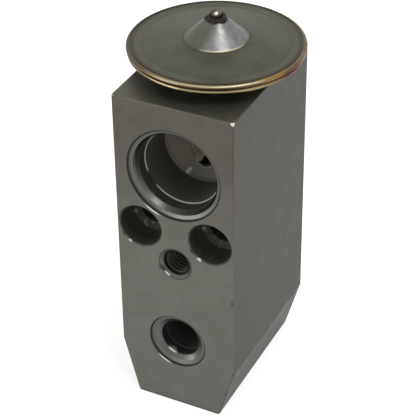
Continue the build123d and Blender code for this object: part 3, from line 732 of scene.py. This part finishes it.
def plain_metal(name, light, dark, rough, depth=0.008, metallic=1.0, shine=0.5):
    """A turned or drawn metal with fine streaks round the valve's axis."""
    g = Graph(name, metallic)
    g.bsdf.inputs["Specular IOR Level"].default_value = shine
    turned = g.noise((6.0, 1.0, 6.0), 2.0, 0.6, g.join(x=g.head_radius(), z=g.split()[2]))
    color = g.mix(g.step(g.noise(0.5), 0.3, 0.7), dark, light)
    return g.finish(color, g.step(turned, 0.2, 0.8, rough - 0.06, rough + 0.08), g.bump(turned, depth))


def rubber_material():
    """Dull black rubber of the seal rings."""
    g = Graph("seal_rubber", 0.0)
    cloud = g.noise(2.0)
    color = g.mix(cloud, (0.012, 0.012, 0.013), (0.024, 0.024, 0.025))
    return g.finish(color, g.step(cloud, 0.2, 0.8, 0.45, 0.6), g.bump(cloud, 0.01))


def sleeve_material():
    """Black plastic of the stem's sleeve, a little glossier than the rubber."""
    g = Graph("sleeve_plastic", 0.0)
    cloud = g.noise(1.2)
    color = g.mix(cloud, (0.012, 0.012, 0.013), (0.022, 0.022, 0.023))
    return g.finish(color, g.step(cloud, 0.2, 0.8, 0.35, 0.5), g.bump(g.noise(5.0), 0.006))


BRASS_LIGHT = (0.42, 0.30, 0.12)
BRASS_DARK = (0.33, 0.23, 0.09)
# Turned metals by node: material name, light and dark tone, roughness
PLAIN_METALS = {
    "rim_weld": ("rim_weld_steel", (0.05, 0.03, 0.02), (0.02, 0.012, 0.01), 0.5),
    "head_boss": ("neck_steel", (0.30, 0.29, 0.27), (0.22, 0.21, 0.20), 0.35),
    "diaphragm": ("diaphragm_steel", (0.42, 0.41, 0.40), (0.34, 0.33, 0.32), 0.25),
    "diaphragm_pad": ("pad_steel", (0.34, 0.33, 0.31), (0.26, 0.25, 0.24), 0.35),
    "sensing_stem": ("stem_aluminium", (0.35, 0.35, 0.34), (0.27, 0.27, 0.26), 0.32),
    "push_pin": ("pin_steel", (0.4, 0.4, 0.4), (0.3, 0.3, 0.3), 0.25),
    "seal_retainer": ("retainer_steel", (0.32, 0.31, 0.29), (0.24, 0.23, 0.22), 0.35),
    "valve_ball": ("ball_steel", (0.5, 0.5, 0.5), (0.42, 0.42, 0.42), 0.15),
    "ball_carrier": ("carrier_brass", BRASS_LIGHT, BRASS_DARK, 0.35),
    "damper_spring": ("damper_steel", (0.36, 0.35, 0.33), (0.28, 0.27, 0.26), 0.3),
    "superheat_spring": ("spring_steel", (0.24, 0.24, 0.24), (0.16, 0.16, 0.16), 0.35),
    "adjusting_screw": ("adjuster_brass", BRASS_LIGHT, BRASS_DARK, 0.35),
}
# The burnt collar: the same four, then a coarse relief, no metal in it and hardly any shine
COLLAR_METAL = ("plug_weld_steel", (0.020, 0.016, 0.016), (0.010, 0.008, 0.008), 0.5, 0.03, 0.0, 0.15)


def make_materials():
    """One material for each node; the covers share one, and the seal rings share one."""
    materials = {node: plain_metal(*given) for node, given in PLAIN_METALS.items()}
    materials["plug_weld"] = plain_metal(*COLLAR_METAL)
    materials["valve_body"] = block_material()
    materials["upper_cover"] = materials["lower_cover"] = cover_material()
    materials["charge_plug"] = plug_material()
    materials["stem_sleeve"] = sleeve_material()
    rubber = rubber_material()
    for node in ("head_o_ring", "stem_o_ring", "adjuster_o_ring"):
        materials[node] = rubber
    return materials


def mesh_object(name, verts, faces, material, smooth=True):
    """A new object in the scene from corners and faces."""
    mesh = bpy.data.meshes.new(name)
    mesh.from_pydata(verts, [], faces)
    mesh.validate()
    mesh.polygons.foreach_set("use_smooth", [smooth] * len(mesh.polygons))
    mesh.materials.append(material)
    obj = bpy.data.objects.new(name, mesh)
    bpy.context.collection.objects.link(obj)
    return obj


def swept_faces(count, ring):
    """Faces of a closed section of ring corners that is carried along count steps, with both ends."""
    faces = []
    for i in range(count):
        for k in range(ring):
            a, b = ring * i + k, ring * i + (k + 1) % ring
            faces.append((a, b, b + ring, a + ring))
    faces.append(tuple(range(ring - 1, -1, -1)))
    faces.append(tuple(ring * count + k for k in range(ring)))
    return faces


def stud_thread(material):
    """The ridges of the tapped hole: one V-shaped ridge wound along its wall."""
    major, minor, pitch = 3.03 * MM, 2.52 * MM, 1.0 * MM
    start, length, steps = 0.55 * MM, 12.0 * MM, 48
    profile = ((0.0, major), (0.38 * pitch, minor), (0.5 * pitch, minor), (0.88 * pitch, major))
    count = int((length - pitch) / pitch * steps)
    verts = []
    for i in range(count + 1):
        angle = 2 * math.pi * i / steps
        for depth, radius in profile:
            y = FRONT_Y + start + depth + pitch * i / steps
            verts.append((radius * math.sin(angle), y, STUD_Z + radius * math.cos(angle)))
    obj = mesh_object("stud_thread", verts, swept_faces(count, len(profile)), material, smooth=False)
    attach(obj, "housing")


# How much of a wobble outwards also lifts an outline, and how its phase shifts from point to point
WOBBLE_LIFT = 0.6
WOBBLE_SHIFT = 0.5


def turned_mesh(name, outline, steps, material, wobble=None):
    """A closed outline of radius and height, turned round the valve's axis, with a wobble if given."""
    verts, faces = [], []
    for i in range(steps):
        angle = 2 * math.pi * i / steps
        for k, (radius, z) in enumerate(outline):
            out = wobble(angle, k) if wobble else 0.0
            r = radius + out
            verts.append((r * math.cos(angle), AXIS_Y + r * math.sin(angle), z + out * WOBBLE_LIFT))
    count = len(outline)
    for i in range(steps):
        for k in range(count):
            a, b = i * count + k, i * count + (k + 1) % count
            c, d = ((i + 1) % steps) * count + (k + 1) % count, ((i + 1) % steps) * count + k
            faces.append((a, d, c, b))
    return mesh_object(name, verts, faces, material)


def weld_bead(material):
    """The burnt collar round the plug, uneven as the weld ran."""
    rng = random.Random(7)
    waves = [(n, rng.uniform(0.02, 0.07) * MM, rng.uniform(0, 2 * math.pi)) for n in (3, 5, 8, 13, 21)]
    outline = [
        (1.20 * MM, PLUG_LAND_Z - 0.05 * MM),
        (1.29 * MM, PLUG_LAND_Z + 0.50 * MM),
        (1.58 * MM, PLUG_LAND_Z + 0.58 * MM),
        (1.90 * MM, PLUG_LAND_Z + 0.48 * MM),
        (2.18 * MM, CONE_TOP_Z + 0.33 * MM),
        (2.38 * MM, CONE_TOP_Z + 0.06 * MM),
        (2.50 * MM, CONE_TOP_Z - 0.28 * MM),
        (2.20 * MM, CONE_TOP_Z - 0.12 * MM),
        (1.70 * MM, PLUG_LAND_Z - 0.10 * MM),
    ]
    freedom = (0.0, 0.15, 0.6, 0.9, 1.0, 1.0, 0.7, 0.0, 0.0)

    def wobble(angle, k):
        shift = WOBBLE_SHIFT * k
        return freedom[k] * sum(size * math.sin(n * angle + phase + shift) for n, size, phase in waves)

    obj = turned_mesh("weld_bead", outline, 192, material, wobble)
    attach(obj, "housing")
    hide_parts("plug_weld")


def diaphragm_sheet(material):
    """The thin rippled sheet under the upper cover; the real one flattens as the valve closes."""
    sag, thick = 0.85 * MM, 0.15 * MM
    line = [
        (17.75, 0.0), (15.8, 0.0), (15.2, -0.09), (14.7, -0.17), (14.3, -0.22), (13.9, -0.24),
        (13.6, -0.25), (13.2, -0.34), (12.9, -0.48), (12.6, -0.62), (12.2, -0.70), (0.4, -0.70),
    ]
    top = [(r * MM, CLAMP_Z + z * MM) for r, z in line]
    outline = top + [(r, z - thick) for r, z in reversed(top)]
    obj = turned_mesh("diaphragm_sheet", outline, 144, material)
    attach(obj, "housing")
    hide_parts("diaphragm")
    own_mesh(obj)


def coil_spring(material):
    """The coil spring with closed and ground ends."""
    turns, ring, ground = 6, 24, 0.36 * MM
    wire, mean, closed = 0.6 * MM, 4.2 * MM, 1.22 * MM
    start = SPRING_FOOT_Z + wire - ground
    end = SPRING_HEAD_Z - wire + ground
    pitch = (end - start - 2 * closed) / (turns - 2)
    steps = 48 * turns
    verts = []
    for i in range(steps + 1):
        turn = turns * i / steps
        tight = min(turn, 1) + max(turn - turns + 1, 0)
        z = start + tight * closed + (turn - tight) * pitch
        angle = 2 * math.pi * turn
        for k in range(ring):
            side = 2 * math.pi * k / ring
            radius = mean + wire * math.cos(side)
            height = min(max(z + wire * math.sin(side), SPRING_FOOT_Z), SPRING_HEAD_Z)
            verts.append((radius * math.cos(angle), AXIS_Y + radius * math.sin(angle), height))
    obj = mesh_object("coil_spring", verts, swept_faces(steps, ring), material)
    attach(obj, "housing")
    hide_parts("superheat_spring")
    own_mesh(obj)


def seen_directly(tree):
    """One for rays that show a thing itself or mirror it, zero for those that only light."""
    path = tree.nodes.new("ShaderNodeLightPath")
    total = path.outputs["Is Camera Ray"]
    for name in ("Is Glossy Ray", "Is Transmission Ray"):
        add = tree.nodes.new("ShaderNodeMath")
        add.operation = "MAXIMUM"
        tree.links.new(total, add.inputs[0])
        tree.links.new(path.outputs[name], add.inputs[1])
        total = add.outputs[0]
    return total


def white_world():
    """Even light from all round, with a white sky behind the object."""
    world = bpy.data.worlds.new("world")
    bpy.context.scene.world = world
    world.use_nodes = True
    tree = world.node_tree
    lit = tree.nodes["Background"]
    lit.inputs["Color"].default_value = (1.0, 1.0, 1.0, 1.0)
    lit.inputs["Strength"].default_value = WORLD_LEVEL
    seen = tree.nodes.new("ShaderNodeBackground")
    seen.inputs["Color"].default_value = (1.0, 1.0, 1.0, 1.0)
    seen.inputs["Strength"].default_value = 1.0
    mix = tree.nodes.new("ShaderNodeMixShader")
    tree.links.new(seen_directly(tree), mix.inputs[0])
    tree.links.new(lit.outputs[0], mix.inputs[1])
    tree.links.new(seen.outputs[0], mix.inputs[2])
    tree.links.new(mix.outputs[0], tree.nodes["World Output"].inputs[0])


def pale_floor():
    """A matt white floor that keeps the object's shadow."""
    mat = bpy.data.materials.new("floor")
    mat.use_nodes = True
    tree = mat.node_tree
    bsdf = tree.nodes["Principled BSDF"]
    bsdf.inputs["Base Color"].default_value = (0.8, 0.8, 0.8, 1.0)
    bsdf.inputs["Roughness"].default_value = 0.9
    bsdf.inputs["Specular IOR Level"].default_value = 0.0
    bsdf.inputs["Emission Color"].default_value = (1.0, 1.0, 1.0, 1.0)
    glow = tree.nodes.new("ShaderNodeMath")
    glow.operation = "MULTIPLY"
    glow.inputs[1].default_value = FLOOR_GLOW
    tree.links.new(seen_directly(tree), glow.inputs[0])
    tree.links.new(glow.outputs[0], bsdf.inputs["Emission Strength"])
    half = FLOOR_HALF
    corners = [(-half, -half, 0), (half, -half, 0), (half, half, 0), (-half, half, 0)]
    mesh_object("floor", corners, [(0, 1, 2, 3)], mat, smooth=False)


def area_light(name, direction, size, watts):
    """A soft light, wide and high by size, that looks at the middle of the block from a direction."""
    data = bpy.data.lights.new(name, "AREA")
    data.shape = "RECTANGLE"
    data.size, data.size_y = size
    data.energy = watts
    obj = bpy.data.objects.new(name, data)
    way = Vector(direction).normalized()
    obj.location = Vector((0, 0, BLOCK_TOP / 2)) + way * LAMP_DISTANCE
    obj.rotation_euler = way.to_track_quat("Z", "Y").to_euler()
    bpy.context.collection.objects.link(obj)


MATERIALS = make_materials()
for node_name, node_material in MATERIALS.items():
    for material_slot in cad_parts[node_name].material_slots:
        material_slot.material = node_material

bpy.context.scene.view_settings.view_transform = "Standard"
make_camera()
white_world()
pale_floor()
area_light("key", KEY_WAY, (KEY_SIZE, KEY_SIZE), KEY_WATTS)
area_light("fill", FILL_WAY, FILL_SIZE, FILL_WATTS)
stud_thread(MATERIALS["valve_body"])
weld_bead(MATERIALS["plug_weld"])
diaphragm_sheet(MATERIALS["diaphragm"])
coil_spring(MATERIALS["superheat_spring"])
